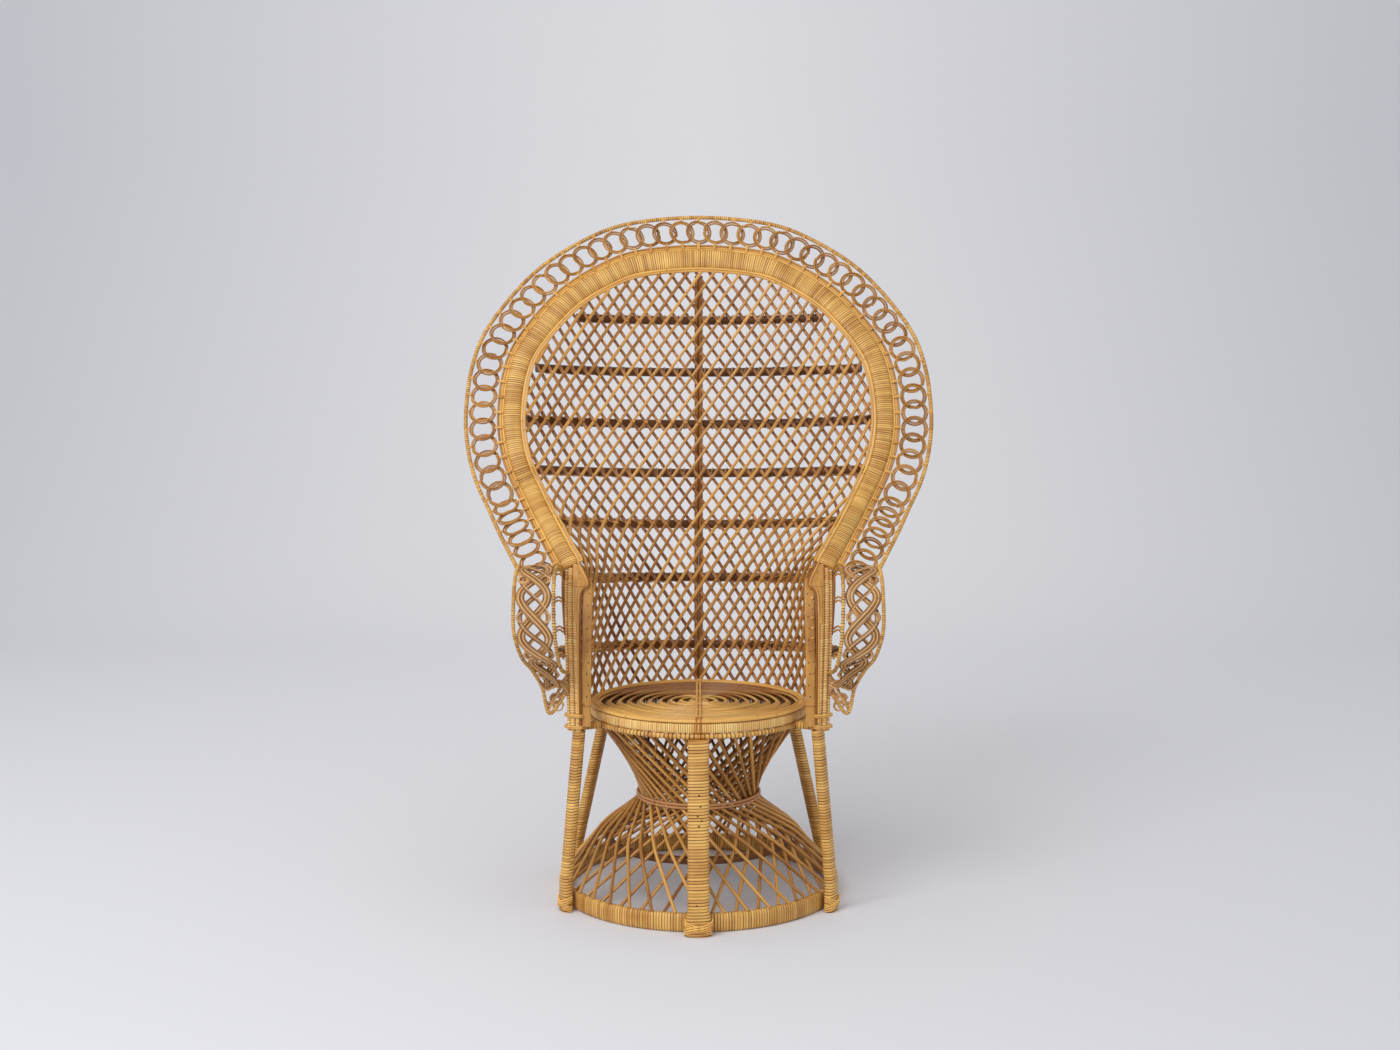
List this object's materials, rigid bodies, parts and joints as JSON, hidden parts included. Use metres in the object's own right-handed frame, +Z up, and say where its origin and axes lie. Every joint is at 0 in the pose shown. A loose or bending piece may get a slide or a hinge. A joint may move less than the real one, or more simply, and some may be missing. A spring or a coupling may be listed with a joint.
{
  "type": "peacock chair",
  "caption": "Round-seated rattan chair with a tall fan back of crossed lattice, a halo of rings, rolled openwork arms and a twisted hourglass base.",
  "frame": {"origin": "on the floor, below the centre of the chair's outer box", "axes": "+Z up, the sitter faces -Y, +X to the right as seen from the front"},
  "size_m": [1.0241, 0.743, 1.4552],
  "materials": {
    "rattan_light": "satin varnished rattan cane, light honey",
    "rattan_mid": "satin varnished rattan core, golden brown",
    "rattan_dark": "shaded rattan poles, brown",
    "rattan_red": "satin rattan, reddish brown"
  },
  "bodies": {
    "root": {"arm_inner_rail_left": "rattan_mid", "arm_inner_rail_right": "rattan_mid", "arm_lace_top_left": "rattan_mid", "arm_lace_top_right": "rattan_mid", "arm_lace_under_left": "rattan_mid", "arm_lace_under_right": "rattan_mid", "arm_lower_rail_left": "rattan_mid", "arm_lower_rail_right": "rattan_mid", "arm_outer_rail_left": "rattan_light", "arm_outer_rail_right": "rattan_light", "back_bar_1": "rattan_dark", "back_bar_2": "rattan_dark", "back_bar_3": "rattan_dark", "back_bar_4": "rattan_dark", "back_bar_5": "rattan_dark", "back_bar_6": "rattan_dark", "back_bar_7": "rattan_dark", "base_hoop": "rattan_light", "bell_strands_inner": "rattan_dark", "bell_strands_outer": "rattan_mid", "funnel_strands_inner": "rattan_dark", "funnel_strands_outer": "rattan_mid", "halo_rings_front": "rattan_light", "halo_rings_rear": "rattan_mid", "hoop_band": "rattan_light", "inner_border_rod_1": "rattan_light", "inner_border_rod_2": "rattan_light", "knee_hoop": "rattan_dark", "lattice_front": "rattan_mid", "lattice_front_edge": "rattan_mid", "lattice_rear": "rattan_red", "lattice_rear_edge": "rattan_red", "leg_front": "rattan_light", "leg_rear": "rattan_light", "leg_rear_left": "rattan_light", "leg_rear_right": "rattan_light", "leg_side_left": "rattan_light", "leg_side_right": "rattan_light", "outer_border_rod": "rattan_light", "post_inner_left": "rattan_light", "post_inner_right": "rattan_light", "post_outer_left": "rattan_light", "post_outer_right": "rattan_light", "post_panel_left": "rattan_mid", "post_panel_right": "rattan_mid", "post_thin_left": "rattan_light", "post_thin_right": "rattan_light", "seat_apron": "rattan_light", "seat_centre_bar": "rattan_light", "seat_lower_rod": "rattan_light", "seat_mat_front": "rattan_mid", "seat_mat_left": "rattan_mid", "seat_mat_rear": "rattan_mid", "seat_mat_right": "rattan_mid", "seat_rim_rod": "rattan_light", "seat_tie_left": "rattan_light", "seat_tie_right": "rattan_light", "spine_pole": "rattan_dark", "waist_rod_lower": "rattan_red", "waist_rod_upper": "rattan_red"}
  },
  "joints": []
}
